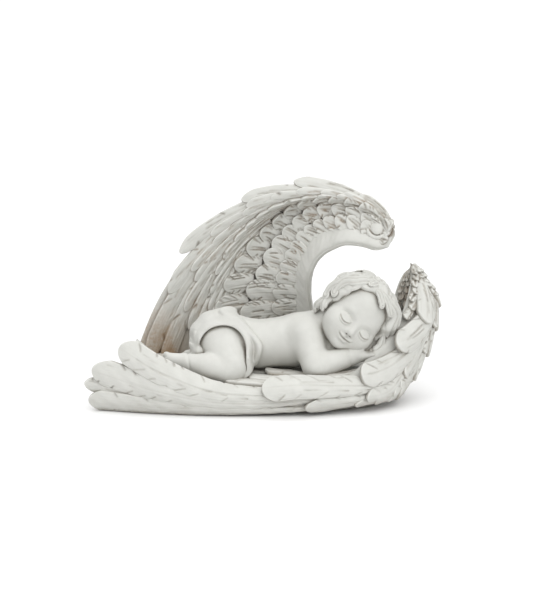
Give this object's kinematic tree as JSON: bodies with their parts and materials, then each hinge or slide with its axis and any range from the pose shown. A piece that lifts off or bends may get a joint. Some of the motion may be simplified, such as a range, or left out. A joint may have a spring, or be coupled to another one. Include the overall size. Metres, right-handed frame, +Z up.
{
  "type": "resin angel figurine",
  "caption": "Off-white cast-resin figurine of a cherub asleep face down in a cradle formed by its two feathered wings, one curling over the head.",
  "frame": {"origin": "on the flat underside of the base, under the middle of the figurine", "axes": "+X towards the cherub's head, +Y towards the tall rear wing and away from the open front, +Z up"},
  "size_m": [0.1639, 0.0787, 0.1013],
  "materials": {
    "resin": "matte"
  },
  "bodies": {
    "root": {"base": "resin", "drape": "resin", "front_lip_feather_1": "resin", "front_lip_feather_2": "resin", "front_lip_feather_3": "resin", "front_lip_feather_4": "resin", "front_lip_feather_5": "resin", "front_lip_feather_6": "resin", "front_side_feather_1": "resin", "front_side_feather_2": "resin", "front_side_feather_3": "resin", "front_side_feather_4": "resin", "front_tip_feather_1": "resin", "front_tip_feather_2": "resin", "front_tip_feather_3": "resin", "front_wing": "resin", "front_wing_arm": "resin", "hair": "resin", "head": "resin", "left_arm": "resin", "left_leg": "resin", "rear_back_feather_1": "resin", "rear_back_feather_2": "resin", "rear_back_feather_3": "resin", "rear_back_feather_4": "resin", "rear_back_feather_5": "resin", "rear_flight_feather_1": "resin", "rear_flight_feather_2": "resin", "rear_flight_feather_3": "resin", "rear_flight_feather_4": "resin", "rear_flight_feather_5": "resin", "rear_wing": "resin", "rear_wing_arm": "resin", "right_arm": "resin", "right_leg": "resin", "torso": "resin"}
  },
  "joints": []
}
